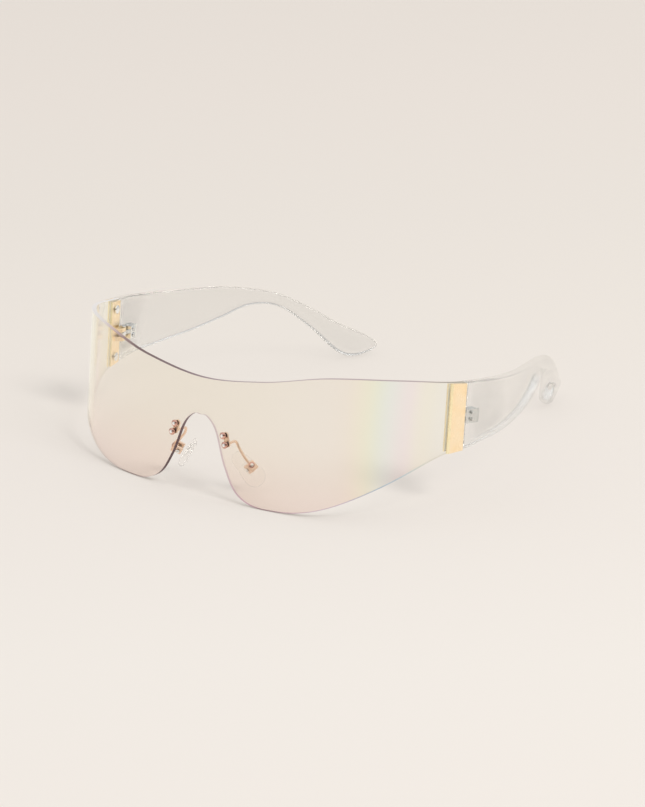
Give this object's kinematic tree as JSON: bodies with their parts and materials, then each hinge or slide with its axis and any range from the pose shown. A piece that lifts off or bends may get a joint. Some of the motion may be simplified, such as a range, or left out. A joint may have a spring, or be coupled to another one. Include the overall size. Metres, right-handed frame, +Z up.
{
  "type": "shield sunglasses",
  "caption": "Rimless shield sunglasses with a curved one-piece clear lens, metal end plates, folding clear temples and rocking nose pads.",
  "frame": {"origin": "on the surface that the glasses stand on, under the middle of their box, with the lens lobes and temple tips on the surface", "axes": "+Z up; +X to the viewer's right when the lens faces the viewer; the lens faces -Y and the temples run back to +Y"},
  "size_m": [0.1522, 0.1484, 0.0461],
  "materials": {
    "lens_clear": "clear polycarbonate with a pale iridescent coating",
    "temple_clear": "milky clear polished plastic",
    "gold": "polished pale gold plating",
    "rose_gold": "polished rose gold plating",
    "steel": "polished nickel plated steel",
    "bush_clear": "clear nylon",
    "silicone": "soft clear silicone"
  },
  "bodies": {
    "front": {"lens": "lens_clear", "plate_left": "gold", "plate_right": "gold", "plate_bushes_left": "bush_clear", "plate_bushes_right": "bush_clear", "front_leaf_left": "gold", "front_leaf_right": "gold", "plate_nuts_left": "steel", "plate_nuts_right": "steel", "hinge_screw_left": "steel", "hinge_screw_right": "steel", "nose_arm_left": "rose_gold", "nose_arm_right": "rose_gold", "peg_bushes_left": "bush_clear", "peg_bushes_right": "bush_clear", "peg_caps_left": "rose_gold", "peg_caps_right": "rose_gold", "pad_screw_left": "steel", "pad_screw_right": "steel"},
    "temple_left": {"temple_leaf_left": "steel", "temple_screws_left": "steel", "temple_left": "temple_clear"},
    "temple_right": {"temple_leaf_right": "steel", "temple_screws_right": "steel", "temple_right": "temple_clear"},
    "nose_pad_left": {"pad_lug_left": "bush_clear", "nose_pad_left": "silicone"},
    "nose_pad_right": {"pad_lug_right": "bush_clear", "nose_pad_right": "silicone"}
  },
  "joints": [
    {"name": "temple_fold_right", "type": "hinge", "parent": "front", "child": "temple_right", "pos_m": [0.07066, -0.02751, 0.02844], "axis": [0, 0.1116, 0.9938], "range_deg": [0, 90]},
    {"name": "temple_fold_left", "type": "hinge", "parent": "front", "child": "temple_left", "pos_m": [-0.07066, -0.02751, 0.02844], "axis": [0, -0.1116, -0.9938], "range_deg": [0, 80]},
    {"name": "nose_pad_rock_right", "type": "hinge", "parent": "front", "child": "nose_pad_right", "pos_m": [0.0153, -0.06429, 0.00959], "axis": [0.2294, 0.8525, 0.4697], "range_deg": [-10, 10]},
    {"name": "nose_pad_rock_left", "type": "hinge", "parent": "front", "child": "nose_pad_left", "pos_m": [-0.0153, -0.06429, 0.00959], "axis": [0.2294, -0.8525, -0.4697], "range_deg": [-10, 10]}
  ]
}
